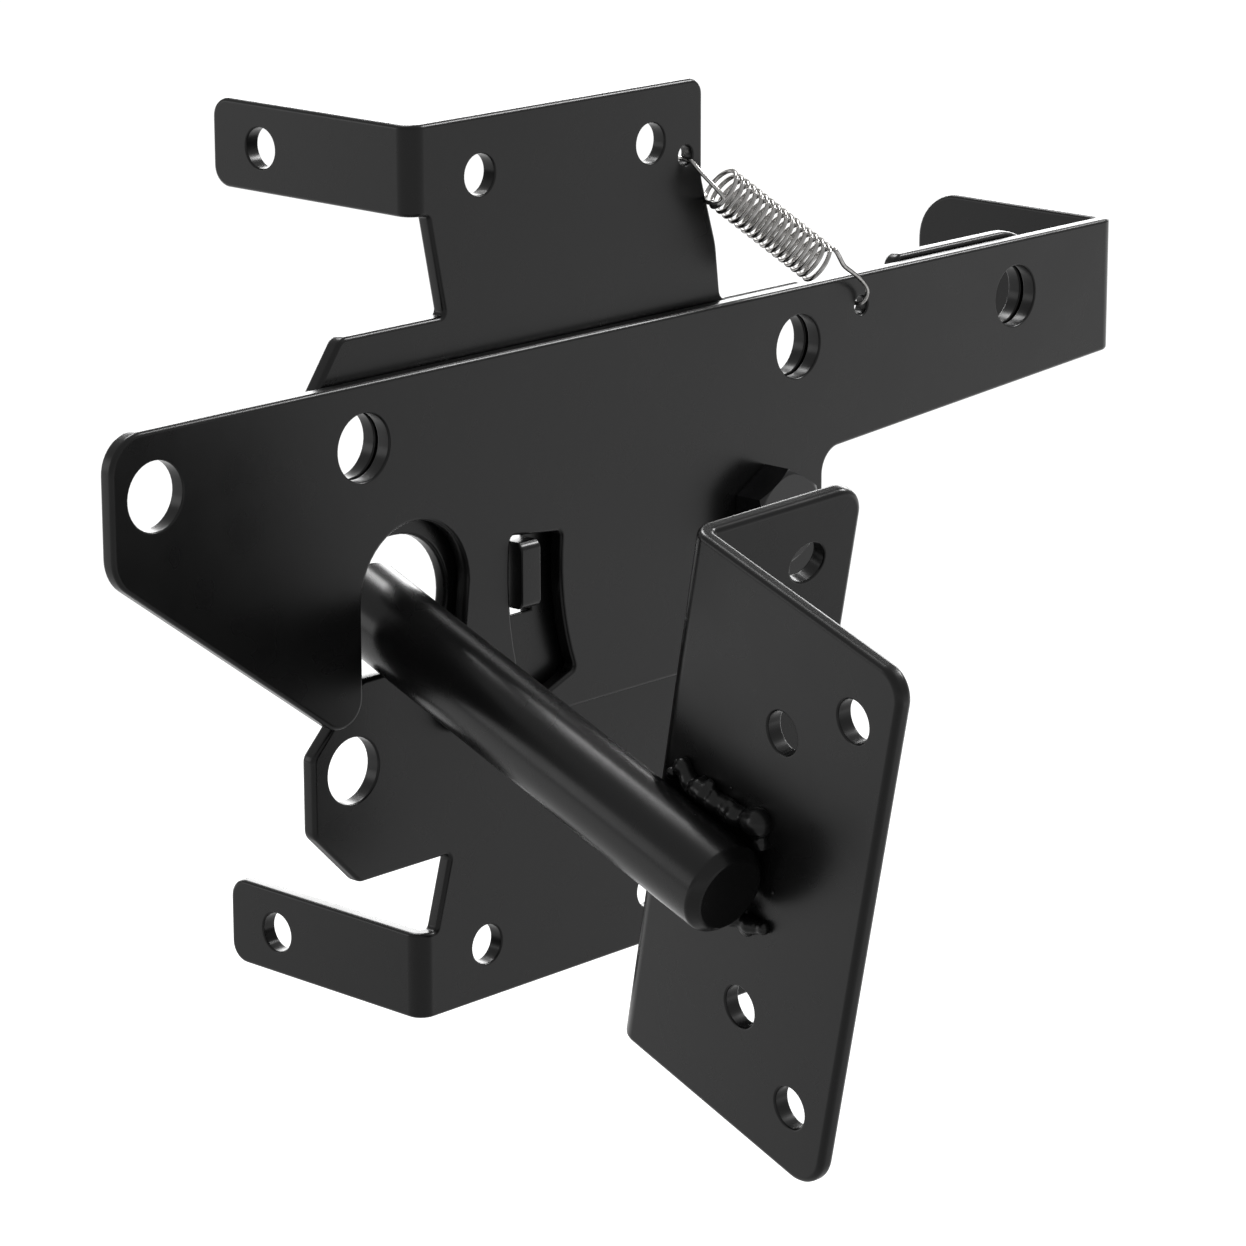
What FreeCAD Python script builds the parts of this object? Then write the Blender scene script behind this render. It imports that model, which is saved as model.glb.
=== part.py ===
import FreeCAD, Part
import math
import os

from FreeCAD import Placement, Rotation, Vector

# Self-locking gate latch, in millimetres.
# +X runs along the latch towards the thumb tab, +Y into the post and +Z up.
# The origin is the centre of the four post screw holes, on the back face of the base plate.

# Sheet metal
sheet = 2.5
bend_radius = 2.8
plate_gap = 0.5
screw_hole = 6.0
padlock_hole = 9.8
spring_hole = 3.0

# Base plate
base_height = 132.0
base_right = 29.0
screw_pitch_x = 35.5
screw_inset = 8.5
plate_corner = 2.5
wing_face_x = -31.6
wing_height = 13.1
wing_length = 38.5
wing_corner = 3.0
wing_hole_y = 28.4
jaw_left = -52.1
jaw_top = 38.1
jaw_bottom = -41.8
jaw_root_x = -25.0
notch_lean = 3.1
notch_radius = 0.8
jaw_radius = 2.0
jaw_top_chamfer_x = 6.8
jaw_top_chamfer_z = 9.4
jaw_low_chamfer = 8.7
jaw_mouth_chamfer = 9.7
slot_x = -35.4
slot_z = -1.9
slot_width = 19.8
low_padlock_x = -44.3
low_padlock_z = -24.8
spring_anchor_x = 25.3
spring_anchor_inset = 11.3
neck_top_inset = 15.0
neck_middle_x = 32.2
neck_middle_inset = 25.5
neck_x = 33.2
neck_radius = 6.0
neck_middle_radius = 12.0
arm_top = 31.9
arm_radius = 9.9
arm_fillet = 1.5
relief_left = 52.0
relief_right = 74.0
relief_depth = 12.5
relief_lean = 4.0
pivot_margin = 14.3
pivot_foot_z = -14.0
pivot_corner = 6.0
pivot_fillet = 4.0

# Lever
lever_left = -90.4
lever_right = 125.7
lever_top = 32.0
lever_bottom = -23.7
nose_corner_z = 12.1
nose_corner_radius = 6.0
nose_ramp_deg = 36.2
nose_tip_radius = 4.2
top_corner_radius = 5.5
arch_x = -34.5
arch_z = 0.0
arch_width = 20.8
lobe_lean = 2.6
lobe_right = 53.5
lobe_corner_x = 9.5
lobe_corner_z = 9.7
lobe_corner_radius = 6.0
lobe_tip_radius = 3.0
handle_fillet = 4.0
handle_root_z = 5.4
handle_end_z = 10.1
tab_length = 39.8
tab_corner = 8.0
nose_hole_x = -82.6
jaw_hole_x = -44.1
mid_hole_x = 47.5
end_hole_x = 100.0
lever_hole_z = 22.8
spring_pull_x = 62.1
spring_pull_z = 27.0

# Stop lug of the base plate, lanced out of the sheet, and stop window of the lever
lug_left = -14.4
lug_width = 4.0
lug_height = 10.0
lug_reach = 1.4
lug_clearance = 0.5
lug_corner = 1.2
lance_slit = 1.8
lance_left = 4.8
lance_right = 2.4
window_inner = 44.6
window_outer = 55.1
window_top_deg = 6.6
window_bottom_deg = -21.2
window_corner = 0.8

# Pivot: bolt, bush, spacer, washer and lock nut
pivot_x = 39.7
pivot_z = -1.7
bolt_diameter = 8.0
hex_flats = 13.0
hex_chamfer_deg = 30.0
head_height = 5.3
head_play = 0.2
bush_diameter = 11.0
running_clearance = 0.05
fit_clearance = 0.03
spacer_diameter = 18.0
spacer_play = 0.05
washer_diameter = 16.0
washer_thickness = 1.6
nut_hex_height = 6.2
nut_collar_height = 1.8
nut_collar_diameter = 11.0
ring_diameter = 9.8
ring_height = 1.5
bolt_end = 1.4
bolt_chamfer = 0.8

# Return spring
wire = 0.7
wire_flats = 6
coil_diameter = 6.8
coil_turns = 14.5
runs_in_a_turn = 8
coil_start_x = 4.4
coil_start_z = -5.3
coil_end_x = -11.1
coil_end_z = 8.4
coil_clearance = 0.3
lead_below = 1.3
lead_forward = 0.8
hook_bends = [(-7.7, 10.1), (-5.7, 7.6), (-1.7, 4.9), (0.3, 2.6)]
hook_seat_x = 0.45
hook_seat_z = 0.6
hook_lap = 0.4
hook_tail = 2.0

# Strike: bracket, bar and welds, in the strike's own frame
# There x = 0 is the outer face of the gate leg, y = 0 that of the back leg and z = 0 the top.
strike_sheet = 2.5
strike_height = 82.5
gate_leg = 43.4
back_leg = 29.2
strike_bend = 3.2
gate_corner_top = 4.2
gate_corner_low = 5.5
back_corner = 4.5
bar_diameter = 13.0
bar_length = 84.5
bar_inset = 18.4
bar_drop = 0.4
bar_chamfer = 1.3
outer_hole_y = -35.8
outer_hole_offset = 31.0
inner_hole_y = -23.4
inner_hole_offset = 22.1
back_hole_x = 20.5
back_hole_offset = 31.2
weld_leg = 9.6
weld_throat_x = 2.4
weld_throat_z = 9.3
weld_toe_x = 4.3
weld_toe_z = 7.4
weld_root = 2.0

# Lie of the strike: the bar rests on the lower edge of the slot
strike_tilt_deg = 16.58
strike_roll_deg = -4.71
strike_yaw_deg = -8.16
bar_offset_x = -0.9
bar_reach = 5.5
seat_clearance = 0.12

# How far a cutter reaches past the faces that it cuts
cut_margin = 1.0

# Values that follow from those above
lever_back = -sheet - plate_gap
lever_front = lever_back - sheet
base_top = base_height / 2
screw_pitch_z = base_height - 2 * screw_inset
spring_anchor_z = base_top - spring_anchor_inset
neck_top = base_top - neck_top_inset
neck_middle_z = base_top - neck_middle_inset
bend_start_x = wing_face_x + bend_radius
pivot_side_x = pivot_x + pivot_margin
bolt_radius = bolt_diameter / 2
bush_radius = bush_diameter / 2
head_face = lever_front - head_play
bar_radius = bar_diameter / 2
bar_near_y = -gate_leg + bar_inset
strike_middle = -strike_height / 2
bar_z = strike_middle - bar_drop


def at(axis, along, a, b):
    """Point at a distance along an axis, with a and b along the two other axes in X, Y, Z order."""
    if axis == "x":
        return Vector(along, a, b)
    if axis == "y":
        return Vector(a, along, b)
    return Vector(a, b, along)


def corner_points(before, corner, after, radius):
    """Tangent points and middle of the arc that rounds a corner."""
    to_before = (before - corner).normalize()
    to_after = (after - corner).normalize()
    half = to_before.getAngle(to_after) / 2
    reach = radius / math.tan(half)
    inward = (to_before + to_after).normalize()
    middle = corner + inward * (radius / math.sin(half) - radius)
    return corner + to_before * reach, middle, corner + to_after * reach


def outline(axis, along, corners):
    """Closed face through corners (a, b, radius); the word via marks the middle of an arc."""
    points = [at(axis, along, a, b) for a, b, _ in corners]
    count = len(corners)
    edges = []
    pen = None
    first = None
    for i, (_, _, rounding) in enumerate(corners):
        before, corner, after = points[i - 1], points[i], points[(i + 1) % count]
        if rounding == "via":
            edges.append(Part.Arc(before, corner, after).toShape())
            pen = after
            continue
        if rounding:
            start, middle, end = corner_points(before, corner, after, rounding)
        else:
            start, middle, end = corner, None, corner
        if pen is not None and pen.distanceToPoint(start) > 1e-6:
            edges.append(Part.LineSegment(pen, start).toShape())
        if middle:
            edges.append(Part.Arc(start, middle, end).toShape())
        first = first or start
        pen = end
    if pen.distanceToPoint(first) > 1e-6:
        edges.append(Part.LineSegment(pen, first).toShape())
    return Part.Face(Part.Wire(edges))


def prism(axis, start, length, corners):
    """Outline pushed along an axis."""
    return outline(axis, start, corners).extrude(at(axis, length, 0, 0))


def rod(axis, start, length, a, b, radius):
    """Cylinder along an axis."""
    return Part.makeCylinder(radius, length, at(axis, start, a, b), at(axis, 1, 0, 0))


def drill(body, axis, start, length, centres, diameter):
    """Body with round holes cut along an axis, right through a wall that starts there."""
    for a, b in centres:
        cutter = rod(axis, start - cut_margin, length + 2 * cut_margin, a, b, diameter / 2)
        body = body.cut(cutter)
    return body


def turned(profile, x=pivot_x, z=pivot_z):
    """Solid of revolution about an axis along Y from (distance along Y, radius) points."""
    points = [Vector(x + radius, y, z) for y, radius in profile]
    face = Part.Face(Part.makePolygon(points + points[:1]))
    return face.revolve(Vector(x, 0, z), Vector(0, 1, 0), 360)


def fold(x_flat, x_face, y_front, y_end, z_low, z_high):
    """Bend and flange of a sheet whose front face is at y_front; the flange runs back to y_end."""
    side = 1 if x_face > x_flat else -1
    slant = math.sqrt(0.5)
    y_bend = y_front + bend_radius
    inner = bend_radius - sheet
    corners = [
        (x_flat, y_front, 0),
        (x_flat + side * bend_radius * slant, y_bend - bend_radius * slant, "via"),
        (x_face, y_bend, 0),
        (x_face, y_end, 0),
        (x_face - side * sheet, y_end, 0),
        (x_face - side * sheet, y_bend, 0),
        (x_flat + side * inner * slant, y_bend - inner * slant, "via"),
        (x_flat, y_front + sheet, 0),
    ]
    return prism("z", z_low, z_high - z_low, corners)


def polar(radius, degrees):
    """Point at a radius from the pivot, turned up from the direction of the nose."""
    turn = math.radians(degrees)
    return pivot_x - radius * math.cos(turn), pivot_z + radius * math.sin(turn)


def base_outline():
    """Flat part of the base plate, clockwise from its top left corner."""
    slot_half = slot_width / 2
    slot_top = slot_z + slot_half
    slot_low = slot_z - slot_half
    wing_low = base_top - wing_height
    relief_low = arm_top - relief_depth
    arm_upper = lever_hole_z + arm_radius
    arm_lower = lever_hole_z - arm_radius
    return [
        (bend_start_x, base_top, 0),
        (base_right, base_top, plate_corner),
        (base_right, neck_top, neck_radius),
        (neck_middle_x, neck_middle_z, neck_middle_radius),
        (neck_x, arm_top, arm_fillet),
        (relief_left, arm_top, jaw_radius),
        (relief_left + relief_lean, relief_low, jaw_radius),
        (relief_right - relief_lean, relief_low, jaw_radius),
        (relief_right, arm_upper, jaw_radius),
        (end_hole_x, arm_upper, 0),
        (end_hole_x + arm_radius, lever_hole_z, "via"),
        (end_hole_x, arm_lower, 0),
        (pivot_side_x, arm_lower, pivot_fillet),
        (pivot_side_x, pivot_foot_z, pivot_corner),
        (neck_x, -arm_top, neck_radius),
        (neck_middle_x, -neck_middle_z, neck_middle_radius),
        (base_right, -neck_top, neck_radius),
        (base_right, -base_top, plate_corner),
        (bend_start_x, -base_top, 0),
        (bend_start_x, -wing_low, 0),
        (jaw_root_x - notch_lean, -wing_low, notch_radius),
        (jaw_root_x, jaw_bottom, notch_radius),
        (jaw_left + jaw_low_chamfer, jaw_bottom, jaw_radius),
        (jaw_left, jaw_bottom + jaw_low_chamfer, jaw_radius),
        (jaw_left, slot_low - jaw_mouth_chamfer, jaw_radius),
        (jaw_left + jaw_mouth_chamfer, slot_low, jaw_radius),
        (slot_x, slot_low, 0),
        (slot_x + slot_half, slot_z, "via"),
        (slot_x, slot_top, 0),
        (jaw_left + jaw_mouth_chamfer, slot_top, jaw_radius),
        (jaw_left, slot_top + jaw_mouth_chamfer, jaw_radius),
        (jaw_left, jaw_top - jaw_top_chamfer_z, jaw_radius),
        (jaw_left + jaw_top_chamfer_x, jaw_top, jaw_radius),
        (jaw_root_x, jaw_top, notch_radius),
        (jaw_root_x - notch_lean, wing_low, notch_radius),
        (bend_start_x, wing_low, 0),
    ]


def wing(z_low, z_high):
    """Wing folded back round the post, with rounded end corners and a screw hole at mid height."""
    flange = fold(bend_start_x, wing_face_x, -sheet, wing_length, z_low, z_high)
    side_view = [
        (-sheet, z_low, 0),
        (-sheet, z_high, 0),
        (wing_length, z_high, wing_corner),
        (wing_length, z_low, wing_corner),
    ]
    flange = flange.common(prism("x", wing_face_x, bend_radius, side_view))
    middle = (z_low + z_high) / 2
    return drill(flange, "x", wing_face_x, sheet, [(wing_hole_y, middle)], screw_hole)


def lug_top():
    """Height of the lug, just under the window's upper edge at rest."""
    right = pivot_x - lug_left - lug_width
    return pivot_z + right * math.tan(math.radians(window_top_deg)) - lug_clearance


def stop_lug():
    """Lug that stands forward through the lever's window."""
    top = lug_top()
    front = lever_front - lug_reach
    side_view = [
        (0, top, 0),
        (0, top - lug_height, 0),
        (front, top - lug_height, lug_corner),
        (front, top, lug_corner),
    ]
    return prism("x", lug_left, lug_width, side_view)


def lance(left, right, margin):
    """Rectangle through the base plate around the lug."""
    top = lug_top() + margin
    low = top - lug_height - 2 * margin
    corners = [(left, low, 0), (left, top, 0), (right, top, 0), (right, low, 0)]
    return prism("y", -sheet, sheet, corners)


def base_plate():
    """Base plate with its wings, slot, arm and the stop lug lanced out of it."""
    plate = prism("y", -sheet, sheet, base_outline())
    plate = plate.fuse([wing(base_top - wing_height, base_top), wing(-base_top, wing_height - base_top)])
    half_x = screw_pitch_x / 2
    half_z = screw_pitch_z / 2
    screws = [(x, z) for x in (-half_x, half_x) for z in (-half_z, half_z)]
    anchors = [(spring_anchor_x, spring_anchor_z), (spring_anchor_x, -spring_anchor_z)]
    padlocks = [(x, lever_hole_z) for x in (jaw_hole_x, mid_hole_x, end_hole_x)]
    padlocks.append((low_padlock_x, low_padlock_z))
    bolt_hole = bolt_diameter + 2 * running_clearance
    for centres, size in ((screws, screw_hole), (anchors, spring_hole), (padlocks, padlock_hole),
                          ([(pivot_x, pivot_z)], bolt_hole)):
        plate = drill(plate, "y", -sheet, sheet, centres, size)
    slit_end = lug_left + lug_width + lance_right
    plate = plate.cut(lance(lug_left - lance_left, slit_end, lance_slit))
    plate = plate.fuse([lance(lug_left, slit_end, 0), stop_lug()])
    return plate.removeSplitter()


def lever_outline():
    """Flat part of the lever, clockwise from its top left corner."""
    arch_half = arch_width / 2
    nose_side = arch_x - arch_half
    ramp_low = nose_corner_z - (nose_side - lever_left) * math.tan(math.radians(nose_ramp_deg))
    flat_end = lever_right - bend_radius
    return [
        (lever_left, lever_top, top_corner_radius),
        (flat_end, lever_top, 0),
        (flat_end, handle_end_z, 0),
        (lobe_right, handle_root_z, handle_fillet),
        (lobe_right, lever_bottom + lobe_corner_z, lobe_corner_radius),
        (lobe_right - lobe_corner_x, lever_bottom, lobe_corner_radius),
        (arch_x + arch_half - lobe_lean, lever_bottom, lobe_tip_radius),
        (arch_x + arch_half, arch_z, 0),
        (arch_x, arch_z + arch_half, "via"),
        (nose_side, arch_z, 0),
        (nose_side, ramp_low, nose_tip_radius),
        (lever_left, nose_corner_z, nose_corner_radius),
    ]


def window():
    """Curved window about the pivot, cut through the lever for the stop lug."""
    middle_deg = (window_top_deg + window_bottom_deg) / 2
    corners = [
        (*polar(window_outer, window_bottom_deg), 0),
        (*polar(window_outer, middle_deg), "via"),
        (*polar(window_outer, window_top_deg), 0),
        (*polar(window_inner, window_top_deg), 0),
        (*polar(window_inner, middle_deg), "via"),
        (*polar(window_inner, window_bottom_deg), 0),
    ]
    depth = sheet + 2 * cut_margin
    through = prism("y", lever_front - cut_margin, depth, corners)
    uprights = [edge for edge in through.Edges if abs(edge.BoundBox.YLength - depth) < 1e-6]
    return through.makeFillet(window_corner, uprights)


def thumb_tab():
    """Tab folded back at the end of the handle."""
    flat_end = lever_right - bend_radius
    tab_end = lever_front + tab_length
    tab = fold(flat_end, lever_right, lever_front, tab_end, handle_end_z, lever_top)
    side_view = [
        (lever_front, handle_end_z, 0),
        (lever_front, lever_top, 0),
        (tab_end, lever_top, tab_corner),
        (tab_end, handle_end_z, tab_corner),
    ]
    return tab.common(prism("x", flat_end, bend_radius, side_view))


def latch_lever():
    """Lever with its nose, arch, stop window, handle and thumb tab."""
    lever = prism("y", lever_front, sheet, lever_outline())
    lever = lever.cut(window()).fuse(thumb_tab())
    holes = [(x, lever_hole_z) for x in (nose_hole_x, jaw_hole_x, mid_hole_x, end_hole_x)]
    bush_hole = bush_diameter + 2 * running_clearance
    for centres, size in ((holes, padlock_hole), ([(spring_pull_x, spring_pull_z)], spring_hole),
                          ([(pivot_x, pivot_z)], bush_hole)):
        lever = drill(lever, "y", lever_front, sheet, centres, size)
    return lever.removeSplitter()


def hexagon(start, height, free_face, inward):
    """Hexagonal prism on the pivot axis, corner up, with its corners turned off at the free face."""
    across = hex_flats / math.sqrt(3)
    corners = []
    for i in range(6):
        turn = math.radians(90 + 60 * i)
        corners.append((pivot_x + across * math.cos(turn), pivot_z + across * math.sin(turn), 0))
    flat_radius = hex_flats / 2
    rise = flat_radius * math.tan(math.radians(hex_chamfer_deg))
    far = free_face + inward * 2 * height
    envelope = turned([(free_face, 0), (free_face, flat_radius), (free_face + inward * rise, hex_flats),
                       (far, hex_flats), (far, 0)])
    return prism("y", start, height, corners).common(envelope)


def ring(start, length, outer, inner):
    """Plain ring on the pivot axis."""
    return turned([(start, inner), (start, outer), (start + length, outer), (start + length, inner)])


def pivot_bolt():
    """Hex-head bolt through the bush, base plate, washer and nut."""
    head_front = head_face - head_height
    head = hexagon(head_front, head_height, head_front, 1)
    end = washer_thickness + nut_hex_height + nut_collar_height + bolt_end
    shank = turned([(head_face, 0), (head_face, bolt_radius), (end - bolt_chamfer, bolt_radius),
                    (end, bolt_radius - bolt_chamfer), (end, 0)])
    return head.fuse(shank).removeSplitter()


def pivot_bush():
    """Sleeve between the bolt head and the base plate, which the lever turns on."""
    return ring(head_face, -sheet - head_face, bush_radius, bolt_radius + fit_clearance)


def pivot_spacer():
    """Thin washer between the lever and the base plate."""
    thickness = plate_gap - spacer_play
    return ring(-sheet - thickness, thickness, spacer_diameter / 2, bush_radius + running_clearance)


def pivot_washer():
    """Flat washer under the nut."""
    return ring(0, washer_thickness, washer_diameter / 2, bolt_radius + running_clearance)


def pivot_nut():
    """Lock nut: a hexagon with a round collar that holds the plastic ring."""
    hex_end = washer_thickness + nut_hex_height
    collar_end = hex_end + nut_collar_height
    body = hexagon(washer_thickness, nut_hex_height, hex_end, -1)
    body = body.fuse(rod("y", hex_end, nut_collar_height, pivot_x, pivot_z, nut_collar_diameter / 2))
    bore = rod("y", 0, collar_end + cut_margin, pivot_x, pivot_z, bolt_radius + fit_clearance)
    pocket_length = ring_height + cut_margin
    pocket = rod("y", collar_end - ring_height, pocket_length, pivot_x, pivot_z, ring_diameter / 2)
    return body.cut(bore).cut(pocket).removeSplitter()


def pivot_nut_ring():
    """Plastic ring in the nut's collar."""
    end = washer_thickness + nut_hex_height + nut_collar_height
    outer = ring_diameter / 2 - fit_clearance
    return ring(end - ring_height, ring_height, outer, bolt_radius + fit_clearance)


def coil_frame():
    """Start and end of the coil's axis, with the directions forward and up from it."""
    centre_y = -sheet - coil_clearance - coil_diameter / 2
    start = Vector(spring_anchor_x + coil_start_x, centre_y, spring_anchor_z + coil_start_z)
    end = Vector(spring_pull_x + coil_end_x, centre_y, spring_pull_z + coil_end_z)
    forward = Vector(0, -1, 0)
    up = forward.cross((end - start).normalize())
    return start, end, forward, up


def coil_points():
    """Points along the coil, which starts on its lower side and ends on its upper side."""
    start, end, forward, up = coil_frame()
    mean = (coil_diameter - wire) / 2
    runs = round(coil_turns * runs_in_a_turn)
    points = []
    for i in range(runs + 1):
        turn = math.pi + 2 * math.pi * i / runs_in_a_turn
        centre = start + (end - start) * (i / runs)
        points.append(centre + up * (mean * math.cos(turn)) + forward * (mean * math.sin(turn)))
    return points


def return_spring():
    """Coil with a hook at each end, swept as short straight runs of a six-sided wire."""
    start, _, forward, up = coil_frame()
    clear = hook_lap + wire / 2
    base_x = spring_anchor_x + hook_seat_x
    base_z = spring_anchor_z - hook_seat_z
    base_hook = [
        Vector(base_x - hook_tail / 2, clear, base_z + hook_tail),
        Vector(base_x, clear, base_z),
        Vector(base_x, -sheet - clear, base_z),
        start - up * lead_below + forward * lead_forward,
    ]
    pull_x = spring_pull_x - hook_seat_x
    pull_z = spring_pull_z + hook_seat_z
    lever_hook = [Vector(spring_pull_x + x, lever_front - clear, spring_pull_z + z) for x, z in hook_bends]
    lever_hook += [
        Vector(pull_x, lever_front - clear, pull_z),
        Vector(pull_x, lever_back + clear, pull_z),
        Vector(pull_x, lever_back + clear, pull_z + hook_tail),
    ]
    points = base_hook + coil_points() + lever_hook
    along = (points[1] - points[0]).normalize()
    across = along.cross(Vector(0, 1, 0))
    section = []
    for i in range(wire_flats + 1):
        turn = 2 * math.pi * (i + 0.5) / wire_flats
        spoke = across * math.cos(turn) + Vector(0, 1, 0) * math.sin(turn)
        section.append(points[0] + spoke * (wire / 2))
    mitred = 1
    return Part.makePolygon(points).makePipeShell([Part.makePolygon(section)], True, False, mitred)


def strike_place():
    """Placement that lays the strike's bar on the lower edge of the slot."""
    turn = Rotation(strike_yaw_deg, strike_roll_deg, strike_tilt_deg)
    along = turn.multVec(Vector(0, 1, 0))
    slot_low = slot_z - slot_width / 2
    drop = bar_radius / math.sqrt(1 - along.z ** 2)
    rest = Vector(slot_x + bar_offset_x, -sheet, slot_low + drop + seat_clearance)
    bar_far = rest + along * ((bar_reach - rest.y) / along.y)
    far_in_strike = Vector(-bar_radius, bar_near_y + bar_length, bar_z)
    return Placement(bar_far - turn.multVec(far_in_strike), turn)


def strike_bracket():
    """Folded L bracket: a gate leg with four holes and a back leg with two."""
    slant = math.sqrt(0.5)
    inner = strike_bend - strike_sheet
    profile = [
        (0, -gate_leg, 0),
        (0, -strike_bend, 0),
        (strike_bend * (1 - slant), -strike_bend * (1 - slant), "via"),
        (strike_bend, 0, 0),
        (back_leg, 0, 0),
        (back_leg, -strike_sheet, 0),
        (strike_bend, -strike_sheet, 0),
        (strike_bend - inner * slant, -strike_bend + inner * slant, "via"),
        (strike_sheet, -strike_bend, 0),
        (strike_sheet, -gate_leg, 0),
    ]
    bracket = prism("z", -strike_height, strike_height, profile)
    gate_view = [
        (-gate_leg, -strike_height, gate_corner_low),
        (-gate_leg, 0, gate_corner_top),
        (0, 0, 0),
        (0, -strike_height, 0),
    ]
    back_view = [
        (0, -strike_height, 0),
        (0, 0, 0),
        (back_leg, 0, back_corner),
        (back_leg, -strike_height, back_corner),
    ]
    bracket = bracket.common(prism("x", 0, back_leg, gate_view))
    bracket = bracket.common(prism("y", -gate_leg, gate_leg, back_view))
    gate_holes = [(y, strike_middle + side * offset) for side in (-1, 1)
                  for y, offset in ((outer_hole_y, outer_hole_offset), (inner_hole_y, inner_hole_offset))]
    back_holes = [(back_hole_x, strike_middle + side * back_hole_offset) for side in (-1, 1)]
    bracket = drill(bracket, "x", 0, strike_sheet, gate_holes, screw_hole)
    return drill(bracket, "y", -strike_sheet, strike_sheet, back_holes, screw_hole)


def strike_bar():
    """Round bar with chamfered ends, laid along the gate leg's outer face."""
    far_y = bar_near_y + bar_length
    end_radius = bar_radius - bar_chamfer
    return turned([(bar_near_y, 0), (bar_near_y, end_radius), (bar_near_y + bar_chamfer, bar_radius),
                   (far_y - bar_chamfer, bar_radius), (far_y, end_radius), (far_y, 0)],
                  -bar_radius, bar_z)


def weld_bead(side):
    """Bead that fills the corner between the bar and the gate leg, above the bar or below it."""
    start = bar_near_y + bar_chamfer
    section = [(0, weld_root), (0, weld_leg), (-weld_throat_x, weld_throat_z), (-weld_toe_x, weld_toe_z),
               (-weld_toe_x, weld_root)]
    corners = [(x, bar_z + side * z, 0) for x, z in section]
    return prism("y", start, -strike_bend - start, corners).cut(strike_bar())


def placed(shape):
    """Shape of the strike in its place on the latch."""
    shape = shape.copy()
    shape.Placement = strike_place().multiply(shape.Placement)
    return shape


def main():
    """Builds each piece and writes one STEP file for it."""
    pieces = {
        "base_plate": base_plate(),
        "latch_lever": latch_lever(),
        "pivot_bolt": pivot_bolt(),
        "pivot_bush": pivot_bush(),
        "pivot_spacer": pivot_spacer(),
        "pivot_washer": pivot_washer(),
        "pivot_nut": pivot_nut(),
        "pivot_nut_ring": pivot_nut_ring(),
        "return_spring": return_spring(),
        "strike_bracket": placed(strike_bracket()),
        "strike_bar": placed(strike_bar()),
        "strike_weld_upper": placed(weld_bead(1)),
        "strike_weld_lower": placed(weld_bead(-1)),
    }
    os.makedirs("parts", exist_ok=True)
    for name, shape in pieces.items():
        shape.exportStep(f"parts/{name}.step")
        box = shape.BoundBox
        print(name, "solids", len(shape.Solids), "valid", shape.isValid(), "volume", round(shape.Volume, 1),
              "box", [round(v, 1) for v in (box.XMin, box.XMax, box.YMin, box.YMax, box.ZMin, box.ZMax)])


main()
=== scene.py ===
import bpy
import bmesh
import math
import random
from mathutils import Matrix, Vector


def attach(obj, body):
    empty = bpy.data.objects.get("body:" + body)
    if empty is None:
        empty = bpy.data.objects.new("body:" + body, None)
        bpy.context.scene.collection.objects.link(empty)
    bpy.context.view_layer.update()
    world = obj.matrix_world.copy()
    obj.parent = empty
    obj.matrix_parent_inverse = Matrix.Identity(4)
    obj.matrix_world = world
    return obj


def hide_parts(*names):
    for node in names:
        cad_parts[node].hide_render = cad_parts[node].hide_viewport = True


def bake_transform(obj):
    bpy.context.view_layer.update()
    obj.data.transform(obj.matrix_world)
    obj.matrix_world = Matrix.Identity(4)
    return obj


# self-locking gate latch and its strike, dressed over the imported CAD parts, in metres
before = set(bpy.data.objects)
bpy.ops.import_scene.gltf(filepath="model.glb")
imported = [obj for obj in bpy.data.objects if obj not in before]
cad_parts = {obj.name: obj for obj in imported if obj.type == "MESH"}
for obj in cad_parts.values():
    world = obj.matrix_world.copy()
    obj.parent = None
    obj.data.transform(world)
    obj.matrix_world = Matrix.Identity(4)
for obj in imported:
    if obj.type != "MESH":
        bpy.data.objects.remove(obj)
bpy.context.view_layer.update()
mm = 0.001


def placeInScene(name, data):
    thing = bpy.data.objects.new(name, data)
    bpy.context.scene.collection.objects.link(thing)
    return thing


def takeMesh(thing):
    # the finished mesh of a curve or of a mesh with modifiers; the object itself goes
    graph = bpy.context.evaluated_depsgraph_get()
    mesh = bpy.data.meshes.new_from_object(thing.evaluated_get(graph))
    bpy.data.objects.remove(thing)
    return mesh


def addPiece(name, mesh, material, body):
    piece = placeInScene(name, mesh)
    mesh.materials.clear()
    mesh.materials.append(material)
    if body:
        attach(piece, body)
    return piece


# materials

def startMaterial(name):
    material = bpy.data.materials.new(name)
    material.use_nodes = True
    tree = material.node_tree
    tree.nodes.clear()
    shader = tree.nodes.new("ShaderNodeBsdfPrincipled")
    output = tree.nodes.new("ShaderNodeOutputMaterial")
    tree.links.new(shader.outputs["BSDF"], output.inputs["Surface"])
    place = tree.nodes.new("ShaderNodeTexCoord")
    return material, tree, shader, place.outputs["Object"]


def addNoise(tree, place, scale, detail):
    noise = tree.nodes.new("ShaderNodeTexNoise")
    noise.inputs["Scale"].default_value = scale
    noise.inputs["Detail"].default_value = detail
    noise.inputs["Roughness"].default_value = 0.5
    tree.links.new(place, noise.inputs["Vector"])
    return noise.outputs["Fac"]


def addRange(tree, value, fromLow, fromHigh, low, high, curve):
    span = tree.nodes.new("ShaderNodeMapRange")
    span.interpolation_type = curve
    span.inputs["From Min"].default_value = fromLow
    span.inputs["From Max"].default_value = fromHigh
    span.inputs["To Min"].default_value = low
    span.inputs["To Max"].default_value = high
    tree.links.new(value, span.inputs["Value"])
    return span.outputs["Result"]


noiseSpan = {"low": 0.2, "high": 0.8}  # a noise seldom leaves this range


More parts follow.
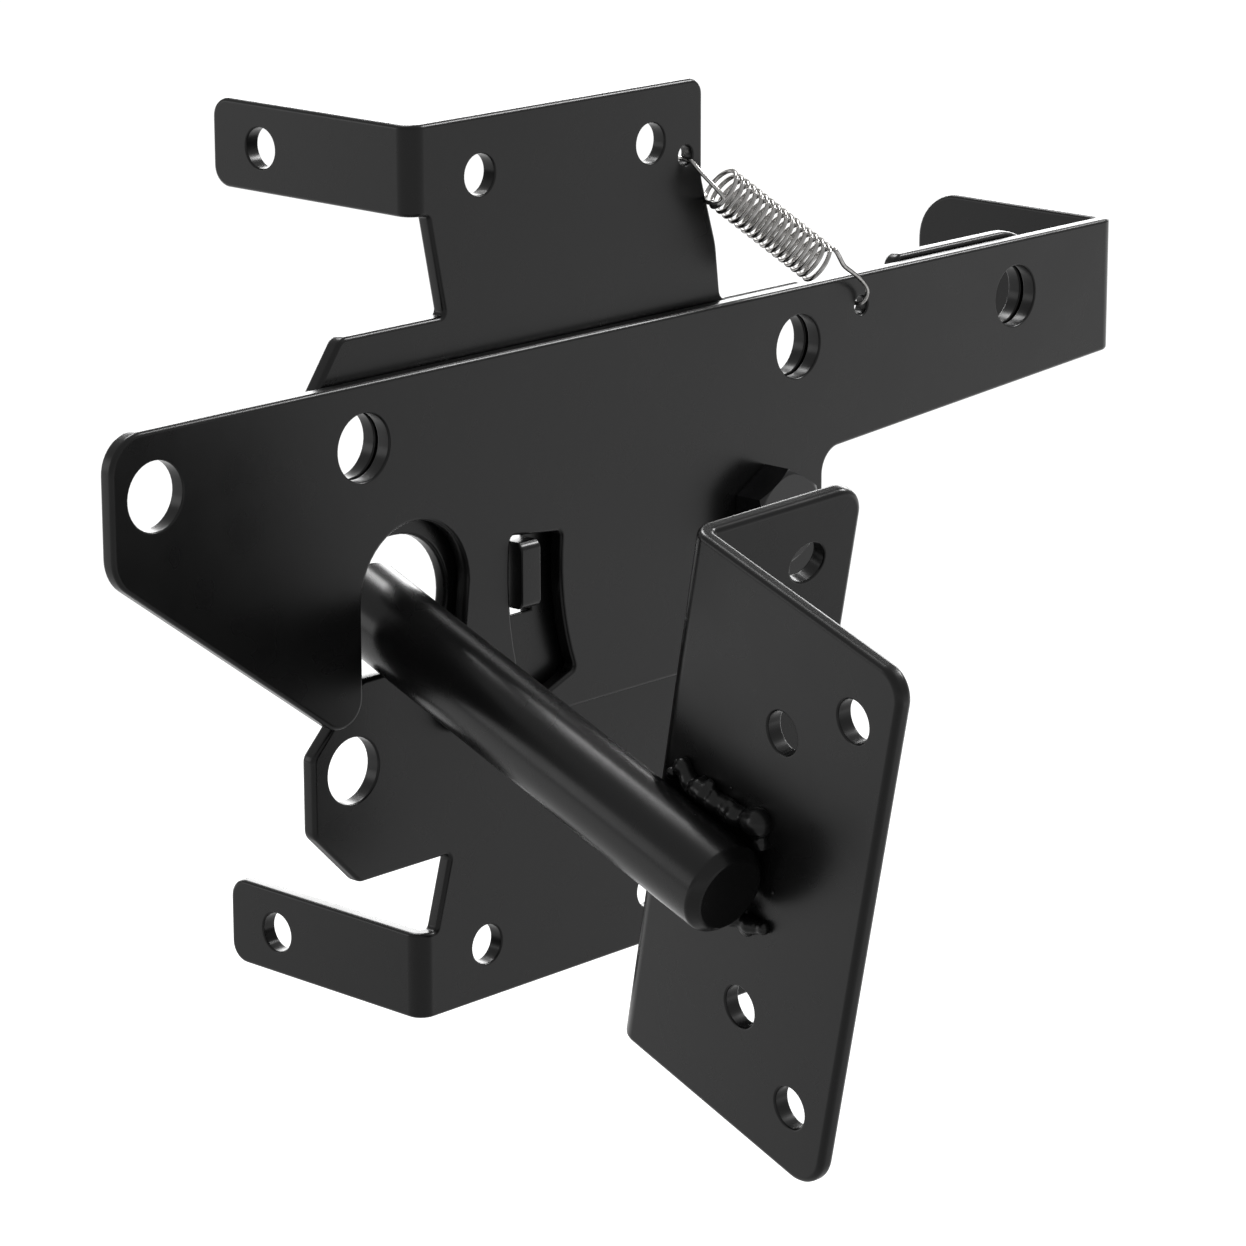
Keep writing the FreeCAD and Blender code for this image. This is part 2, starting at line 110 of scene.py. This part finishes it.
def addRoughness(tree, noise, look, shader):
    span = addRange(tree, noise, noiseSpan["low"], noiseSpan["high"], look["roughLow"],
                    look["roughHigh"], "SMOOTHSTEP")
    tree.links.new(span, shader.inputs["Roughness"])


def addTint(tree, noise, look, shader):
    ramp = tree.nodes.new("ShaderNodeValToRGB")
    ramp.color_ramp.interpolation = "EASE"
    dark, light = ramp.color_ramp.elements
    dark.position = noiseSpan["low"]
    light.position = noiseSpan["high"]
    dark.color = (*look["dark"], 1)
    light.color = (*look["light"], 1)
    tree.links.new(noise, ramp.inputs["Fac"])
    tree.links.new(ramp.outputs["Color"], shader.inputs["Base Color"])


def addBump(tree, noise, depth, shader, under=None):
    bump = tree.nodes.new("ShaderNodeBump")
    bump.inputs["Strength"].default_value = 1.0
    bump.inputs["Distance"].default_value = depth
    tree.links.new(noise, bump.inputs["Height"])
    if under:
        tree.links.new(under, bump.inputs["Normal"])
    tree.links.new(bump.outputs["Normal"], shader.inputs["Normal"])
    return bump.outputs["Normal"]


sheetCoat = {"dark": (0.0034, 0.0034, 0.0035), "light": (0.0046, 0.0046, 0.0047),
             "cloudScale": 55.0, "cloudDetail": 3.0,
             "roughLow": 0.26, "roughHigh": 0.31, "flowScale": 120.0, "flowDetail": 2.0,
             "peelScale": 420.0, "peelDepth": 0.006 * mm,
             "grainScale": 2600.0, "grainDepth": 0.0012 * mm, "bumpDetail": 1.0,
             "specular": 0.4}
barCoat = dict(sheetCoat, roughLow=0.24, roughHigh=0.29)
weldCoat = dict(sheetCoat, roughLow=0.24, roughHigh=0.34, peelScale=1500.0, peelDepth=0.015 * mm)


def powderCoat(name, look):
    # orange peel with a finer grain on top
    material, tree, shader, place = startMaterial(name)
    addTint(tree, addNoise(tree, place, look["cloudScale"], look["cloudDetail"]), look, shader)
    addRoughness(tree, addNoise(tree, place, look["flowScale"], look["flowDetail"]), look, shader)
    peel = addNoise(tree, place, look["peelScale"], look["bumpDetail"])
    grain = addNoise(tree, place, look["grainScale"], look["bumpDetail"])
    under = addBump(tree, peel, look["peelDepth"], shader)
    addBump(tree, grain, look["grainDepth"], shader, under)
    shader.inputs["Specular IOR Level"].default_value = look["specular"]
    return material


blackLook = {"dark": (0.004, 0.004, 0.0045), "light": (0.008, 0.008, 0.0085),
             "cloudScale": 300.0, "cloudDetail": 4.0, "roughLow": 0.16, "roughHigh": 0.24,
             "grainScale": 900.0, "grainDepth": 0.006 * mm, "grainDetail": 2.0,
             "metallic": 0.0, "edgeTint": (1.0, 1.0, 1.0)}
springLook = {"dark": (0.4, 0.392, 0.38), "light": (0.62, 0.61, 0.6),
              "cloudScale": 900.0, "cloudDetail": 3.0, "roughLow": 0.1, "roughHigh": 0.2,
              "grainScale": 3500.0, "grainDepth": 0.002 * mm, "grainDetail": 2.0,
              "metallic": 1.0, "edgeTint": (0.25, 0.25, 0.25)}
turnedLook = {"dark": (0.42, 0.42, 0.43), "light": (0.56, 0.56, 0.57),
              "cloudScale": 600.0, "cloudDetail": 2.0, "roughLow": 0.25, "roughHigh": 0.4,
              "grainScale": 2500.0, "grainDepth": 0.004 * mm, "grainDetail": 2.0,
              "metallic": 1.0, "edgeTint": (1.0, 1.0, 1.0)}
nylonLook = {"dark": (0.62, 0.61, 0.57), "light": (0.7, 0.69, 0.66),
             "cloudScale": 250.0, "cloudDetail": 2.0, "roughLow": 0.42, "roughHigh": 0.55,
             "grainScale": 1500.0, "grainDepth": 0.004 * mm, "grainDetail": 2.0,
             "metallic": 0.0, "edgeTint": (1.0, 1.0, 1.0)}


def bareMaterial(name, look):
    # one cloudy noise sets both the tint and the roughness
    material, tree, shader, place = startMaterial(name)
    cloud = addNoise(tree, place, look["cloudScale"], look["cloudDetail"])
    addTint(tree, cloud, look, shader)
    addRoughness(tree, cloud, look, shader)
    grain = addNoise(tree, place, look["grainScale"], look["grainDetail"])
    addBump(tree, grain, look["grainDepth"], shader)
    shader.inputs["Metallic"].default_value = look["metallic"]
    shader.inputs["Specular Tint"].default_value = (*look["edgeTint"], 1)
    return material


coatMaterial = powderCoat("powderCoat", sheetCoat)
barMaterial = powderCoat("powderCoatOnBar", barCoat)
weldMaterial = powderCoat("powderCoatOnWeld", weldCoat)
blackMaterial = bareMaterial("blackSteel", blackLook)
wireMaterial = bareMaterial("springWire", springLook)
steelMaterial = bareMaterial("turnedSteel", turnedLook)
nylonMaterial = bareMaterial("nylon", nylonLook)
print("materials made")


# steel parts: copies of the CAD meshes with their edges rounded

# a group of edges shorter than rimSpan, such as the rim of a hole, is rounded by rim,
# and a longer one by edge
sheetEdges = {"rimSpan": 15 * mm, "rim": 0.3 * mm, "edge": 0.65 * mm, "clamp": False}
strikeEdges = {"rimSpan": 12 * mm, "rim": 0.32 * mm, "edge": 0.9 * mm, "clamp": False}
barEdges = {"rimSpan": 0, "rim": 0, "edge": 0.35 * mm, "clamp": True}
boltEdges = {"rimSpan": 0, "rim": 0, "edge": 0.6 * mm, "clamp": True}
washerEdges = {"rimSpan": 0, "rim": 0, "edge": 0.15 * mm, "clamp": True}
rounding = {"mergeWithin": 0.001 * mm, "flatDegrees": 0.5, "sharpDegrees": 30,
            "rimSegments": 3, "edgeSegments": 4, "shadingWeight": 50}


def touchingEdges(edges):
    # sorts edges into groups that touch, such as the rim of one hole
    waiting = set(edges)
    groups = []
    while waiting:
        group = [waiting.pop()]
        for edge in group:
            near = {other for corner in edge.verts for other in corner.link_edges
                    if other in waiting}
            group.extend(near)
            waiting -= near
        groups.append(group)
    return groups


def spanOf(edges):
    corners = [corner.co for edge in edges for corner in edge.verts]
    return max(max(c[i] for c in corners) - min(c[i] for c in corners) for i in range(3))


def sharpGroups(form):
    least = math.radians(rounding["sharpDegrees"])
    sharp = [edge for edge in form.edges
             if len(edge.link_faces) == 2 and edge.calc_face_angle() > least]
    return touchingEdges(sharp)


def roundEdges(form, edges, width, segments, clamp):
    edges = [edge for edge in edges if edge.is_valid]  # rounding the rims may have used some up
    bmesh.ops.bevel(form, geom=edges, offset=width, offset_type="OFFSET", affect="EDGES",
                    segments=segments, profile=0.5, material=-1, clamp_overlap=clamp)


def roundedCopy(node, look, material, body):
    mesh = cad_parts[node].data.copy()
    form = bmesh.new()
    form.from_mesh(mesh)
    bmesh.ops.remove_doubles(form, verts=form.verts, dist=rounding["mergeWithin"])
    bmesh.ops.dissolve_limit(form, angle_limit=math.radians(rounding["flatDegrees"]),
                             verts=form.verts, edges=form.edges)
    groups = sharpGroups(form)
    rims = [edge for group in groups if spanOf(group) < look["rimSpan"] for edge in group]
    outline = [edge for group in groups if spanOf(group) >= look["rimSpan"] for edge in group]
    if rims:
        roundEdges(form, rims, look["rim"], rounding["rimSegments"], look["clamp"])
    if outline:
        roundEdges(form, outline, look["edge"], rounding["edgeSegments"], look["clamp"])
    for face in form.faces:
        face.smooth = True
    form.to_mesh(mesh)
    form.free()
    piece = addPiece(node + "Finish", mesh, material, body)
    even = piece.modifiers.new("evenShading", "WEIGHTED_NORMAL")
    even.mode = "FACE_AREA"
    even.weight = rounding["shadingWeight"]
    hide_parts(node)


roundedCopy("base_plate", sheetEdges, coatMaterial, "base")
roundedCopy("latch_lever", sheetEdges, coatMaterial, "lever")
roundedCopy("strike_bracket", strikeEdges, coatMaterial, "base")
roundedCopy("strike_bar", barEdges, barMaterial, "base")
roundedCopy("pivot_bolt", boltEdges, blackMaterial, "base")
roundedCopy("pivot_nut", boltEdges, blackMaterial, "base")
roundedCopy("pivot_washer", washerEdges, blackMaterial, "base")
# these three keep the CAD mesh
for node, material in (("pivot_bush", steelMaterial), ("pivot_spacer", nylonMaterial),
                       ("pivot_nut_ring", nylonMaterial)):
    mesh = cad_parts[node].data
    mesh.materials.clear()
    mesh.materials.append(material)
print("steel parts finished")


# return spring: one round wire with a hook through each sheet, in millimetres

spring = {"wire": 0.7, "coil": 6.8, "turns": 16.583,
          "pointsPerTurn": 12, "stepsPerPoint": 3, "wireSteps": 3,
          "start": (29.8, -4.9, 49.98), "end": (44.73, -12.3, 36.65),
          "baseHook": [(24.75, 0.75, 56.1), (25.5, 0.75, 54.9), (25.75, 0.5, 54.1),
                       (25.75, -3.1, 54.1), (26.0, -4.5, 52.6), (28.2, -7.2, 49.0),
                       (28.4, -7.4, 48.3), (27.9, -6.5, 47.5)],
          "leverHook": [(47.2, -13.5, 38.1), (48.8, -12.8, 36.7), (50.3, -12.0, 35.7),
                        (53.0, -10.9, 34.45), (56.8, -9.4, 32.7), (60.3, -7.9, 30.7),
                        (62.1, -6.9, 29.1), (61.3, -6.3, 27.2), (61.4, -2.2, 27.5),
                        (61.65, -2.25, 29.6)],
          "shankStart": 4, "shankEnd": 6}  # the points of leverHook that bound the hook's shank


def springPath():
    start, end = Vector(spring["start"]), Vector(spring["end"])
    axis = (end - start).normalized()
    up = Vector((0, -1, 0)).cross(axis).normalized()
    forward = axis.cross(up)
    mean = (spring["coil"] - spring["wire"]) / 2
    # the smooth curve runs inside its points, so they stand further out
    reach = mean / (0.75 + 0.25 * math.cos(2 * math.pi / spring["pointsPerTurn"]))
    steps = round(spring["turns"] * spring["pointsPerTurn"])
    coil = []
    for i in range(steps + 1):
        turn = math.pi + 2 * math.pi * i / spring["pointsPerTurn"]
        centre = start.lerp(end, i / steps)
        coil.append(centre + up * (reach * math.cos(turn)) + forward * (reach * math.sin(turn)))
    return [Vector(p) for p in spring["baseHook"]] + coil + [Vector(p) for p in spring["leverHook"]]


def addSpring():
    path = springPath()
    line = bpy.data.curves.new("springLine", "CURVE")
    line.dimensions = "3D"
    line.bevel_depth = spring["wire"] * mm / 2
    line.bevel_resolution = spring["wireSteps"]
    line.resolution_u = spring["stepsPerPoint"]
    line.use_fill_caps = True
    wire = line.splines.new("NURBS")
    wire.points.add(len(path) - 1)
    for point, place in zip(wire.points, path):
        point.co = (*(place * mm), 1)
    wire.order_u = 3
    wire.use_endpoint_u = True
    mesh = takeMesh(placeInScene("springLine", line))
    for face in mesh.polygons:
        face.use_smooth = True
    piece = addPiece("returnSpringWire", mesh, wireMaterial, None)
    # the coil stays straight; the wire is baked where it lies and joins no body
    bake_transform(piece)
    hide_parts("return_spring")


addSpring()
print("spring wound")


# welds between the bar and the gate leg, in millimetres in the strike's own frame:
# x runs into the gate leg, y along the bar and z up from the middle of the bar

strike = {"place": (-40.585, -63.366, 20.886), "yaw": -8.16, "roll": -4.71, "tilt": 16.58,
          "barHeight": -41.65}
weldLook = {"voxel": 0.25, "smoothing": 4, "ballSteps": 3, "leastRadius": 0.85,
            "mostRadius": 1.15}
# a run of drops: its start, its end, their radius, their number and how far they stray
upperWeld = {"seed": 5,
             "runs": [((-0.7, -6.5, 7.6), (-0.9, -9.3, 5.7), 1.25, 7, 0.04),
                      ((-0.9, -10.6, 6.3), (-0.9, -19.3, 7.0), 1.55, 12, 0.25),
                      ((-0.6, -21.3, 7.6), (-0.6, -22.4, 8.0), 1.85, 3, 0.05),
                      ((-1.9, -10.7, 5.6), (-1.9, -12.4, 5.7), 0.5, 3, 0.05),
                      ((-0.4, -10.2, 7.9), (-1.2, -13.6, 8.0), 0.5, 9, 0.4),
                      ((-0.9, -16.2, 7.8), (-1.0, -17.8, 8.0), 0.5, 4, 0.2)],
             "drops": [((-0.5, -4.3, 5.3), 0.95), ((-0.5, -23.2, 5.2), 1.25),
                       ((-0.1, -15.6, 9.4), 0.35)]}
lowerWeld = {"seed": 6,
             "runs": [((-2.0, -4.5, -7.0), (-1.9, -21.0, -7.1), 1.45, 15, 0.25),
                      ((-1.2, -22.0, -7.6), (-0.6, -24.5, -7.4), 1.2, 4, 0.1),
                      ((-0.5, -22.6, -8.5), (-0.5, -23.2, -8.9), 0.95, 3, 0.05),
                      ((-0.4, -25.0, -7.3), (-0.4, -26.1, -6.8), 1.1, 3, 0.05)],
             "drops": [((-0.1, -26.4, -1.0), 0.4)]}


def strikeFrame():
    turn = Matrix.Rotation(math.radians(strike["yaw"]), 4, "Z")
    roll = Matrix.Rotation(math.radians(strike["roll"]), 4, "Y")
    tilt = Matrix.Rotation(math.radians(strike["tilt"]), 4, "X")
    rise = Matrix.Translation((0, 0, strike["barHeight"]))
    place = Matrix.Translation(strike["place"])
    return Matrix.Scale(mm, 4) @ place @ turn @ roll @ tilt @ rise


def weldDrops(weld):
    # the drops of a run overlap, and they stray by chance
    dice = random.Random(weld["seed"])
    drops = []
    for start, end, radius, count, stray in weld["runs"]:
        for i in range(count):
            place = Vector(start).lerp(Vector(end), i / (count - 1))
            aside = Vector((dice.uniform(-1, 1), dice.uniform(-1, 1), dice.uniform(-1, 1)))
            size = radius * dice.uniform(weldLook["leastRadius"], weldLook["mostRadius"])
            drops.append((place + aside * stray, size))
    return drops + [(Vector(place), radius) for place, radius in weld["drops"]]


def addWeld(name, weld, node):
    form = bmesh.new()
    for place, radius in weldDrops(weld):
        bmesh.ops.create_icosphere(form, subdivisions=weldLook["ballSteps"], radius=radius,
                                   matrix=Matrix.Translation(place))
    bmesh.ops.transform(form, matrix=strikeFrame(), verts=form.verts)
    mesh = bpy.data.meshes.new(name)
    form.to_mesh(mesh)
    lumps = placeInScene(name, mesh)
    skin = lumps.modifiers.new("skin", "REMESH")
    skin.mode = "VOXEL"
    skin.voxel_size = weldLook["voxel"] * mm
    melted = takeMesh(lumps)
    form.clear()
    form.from_mesh(melted)
    for _ in range(weldLook["smoothing"]):
        bmesh.ops.smooth_vert(form, verts=form.verts, factor=0.5, use_axis_x=True,
                              use_axis_y=True, use_axis_z=True)
    for face in form.faces:
        face.smooth = True
    form.to_mesh(melted)
    form.free()
    piece = addPiece(name, melted, weldMaterial, "base")
    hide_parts(node)


addWeld("upperWeldBead", upperWeld, "strike_weld_upper")
addWeld("lowerWeldBead", lowerWeld, "strike_weld_lower")
print("welds laid")


# studio: a white surround, a floor that glows with painted light (painted shade below the latch and
# in front, brightest far behind) and five softboxes

# strengths of the floor's painted glow: lowest under the latch and in front, highest far behind
paper = {"height": -0.3, "size": 12.0, "tint": (0.25, 0.25, 0.25), "rough": 0.9, "specular": 0.1,
         "below": 0.16, "away": 0.62, "belowTo": 0.3, "awayFrom": 1.2,
         "front": -0.16, "behind": 1.3, "reach": 1.0, "backward": (0.707, 0.707, 0), "most": 0.95}


def addVectorMath(tree, operation, place):
    step = tree.nodes.new("ShaderNodeVectorMath")
    step.operation = operation
    tree.links.new(place, step.inputs[0])
    return step


def addMath(tree, operation, first, second):
    step = tree.nodes.new("ShaderNodeMath")
    step.operation = operation
    for socket, value in zip(step.inputs, (first, second)):
        if isinstance(value, float):
            socket.default_value = value
        else:
            tree.links.new(value, socket)
    return step.outputs["Value"]


def paperWithPaintedGlow():
    # painted light: the floor glows a little below the latch as painted shade under it, more
    # further out, most far behind it, and least in front as painted shade there
    material, tree, shader, place = startMaterial("paperWithPaintedGlow")
    out = addVectorMath(tree, "LENGTH", place).outputs["Value"]
    along = addVectorMath(tree, "DOT_PRODUCT", place)
    along.inputs[1].default_value = paper["backward"]
    depth = along.outputs["Value"]
    near = addRange(tree, out, paper["belowTo"], paper["awayFrom"], paper["below"],
                    paper["away"], "LINEAR")
    behind = addRange(tree, depth, 0, paper["reach"], 0, paper["behind"], "LINEAR")
    front = addRange(tree, depth, -paper["reach"], 0, paper["front"], 0, "LINEAR")
    glow = addMath(tree, "ADD", near, addMath(tree, "ADD", behind, front))
    glow = addMath(tree, "MINIMUM", glow, paper["most"])
    tree.links.new(glow, shader.inputs["Emission Strength"])
    shader.inputs["Emission Color"].default_value = (1, 1, 1, 1)
    shader.inputs["Base Color"].default_value = (*paper["tint"], 1)
    shader.inputs["Roughness"].default_value = paper["rough"]
    shader.inputs["Specular IOR Level"].default_value = paper["specular"]
    return material


def addFloor():
    form = bmesh.new()
    bmesh.ops.create_grid(form, x_segments=1, y_segments=1, size=paper["size"] / 2)
    bmesh.ops.translate(form, vec=(0, 0, paper["height"]), verts=form.verts)
    mesh = bpy.data.meshes.new("floor")
    form.to_mesh(mesh)
    form.free()
    mesh.materials.append(paperWithPaintedGlow())
    placeInScene("floor", mesh)


lights = {"aim": (0.017, -0.03, -0.01), "surround": 0.45,
          "keySoftbox": {"place": (0.75, -0.3, 0.7), "size": (0.25, 0.25), "power": 5.0},
          "topSoftbox": {"place": (0.25, 0.5, 0.85), "size": (0.3, 0.3), "power": 4.0},
          "rearSoftbox": {"place": (0.71, 0.64, 0.26), "size": (1.1, 0.46), "power": 9.5},
          "sideSoftbox": {"place": (-0.66, 0.68, 0.2), "size": (0.34, 0.34), "power": 0.5},
          "fillCard": {"place": (0.26, -0.46, -0.27), "size": (0.16, 0.16), "power": 0.05}}


def addLight(name):
    look = lights[name]
    lamp = bpy.data.lights.new(name, "AREA")
    lamp.shape = "RECTANGLE"
    lamp.size, lamp.size_y = look["size"]
    lamp.energy = look["power"]
    light = placeInScene(name, lamp)
    place = Vector(look["place"])
    light.location = place
    light.rotation_euler = (place - Vector(lights["aim"])).to_track_quat("Z", "Y").to_euler()
    light.visible_camera = False


def addSurround():
    world = bpy.data.worlds.new("whiteStudio")
    world.use_nodes = True
    surround = world.node_tree.nodes["Background"]
    surround.inputs["Color"].default_value = (1, 1, 1, 1)
    surround.inputs["Strength"].default_value = lights["surround"]
    bpy.context.scene.world = world


addFloor()
for softbox in ("keySoftbox", "topSoftbox", "rearSoftbox", "sideSoftbox", "fillCard"):
    addLight(softbox)
addSurround()

view = {"place": (-0.498006, -0.482721, 0.178005), "turnDegrees": -45.9965,
        "dropDegrees": 14.8184, "rollDegrees": -0.302, "sensor": 36, "lens": 140.27,
        "shiftX": 0.04606, "shiftY": -0.03607, "nearest": 0.01, "farthest": 50}


def addCamera():
    lens = bpy.data.cameras.new("camera")
    lens.sensor_width = view["sensor"]
    lens.lens = view["lens"]
    lens.shift_x = view["shiftX"]
    lens.shift_y = view["shiftY"]
    lens.clip_start = view["nearest"]
    lens.clip_end = view["farthest"]
    camera = placeInScene("camera", lens)
    turn = Matrix.Rotation(math.radians(view["turnDegrees"]), 4, "Z")
    tilt = Matrix.Rotation(math.radians(90 - view["dropDegrees"]), 4, "X")
    roll = Matrix.Rotation(math.radians(view["rollDegrees"]), 4, "Z")
    camera.matrix_world = Matrix.Translation(view["place"]) @ turn @ tilt @ roll
    bpy.context.scene.camera = camera
    bpy.context.scene.view_settings.view_transform = "Standard"


addCamera()
print("studio set")
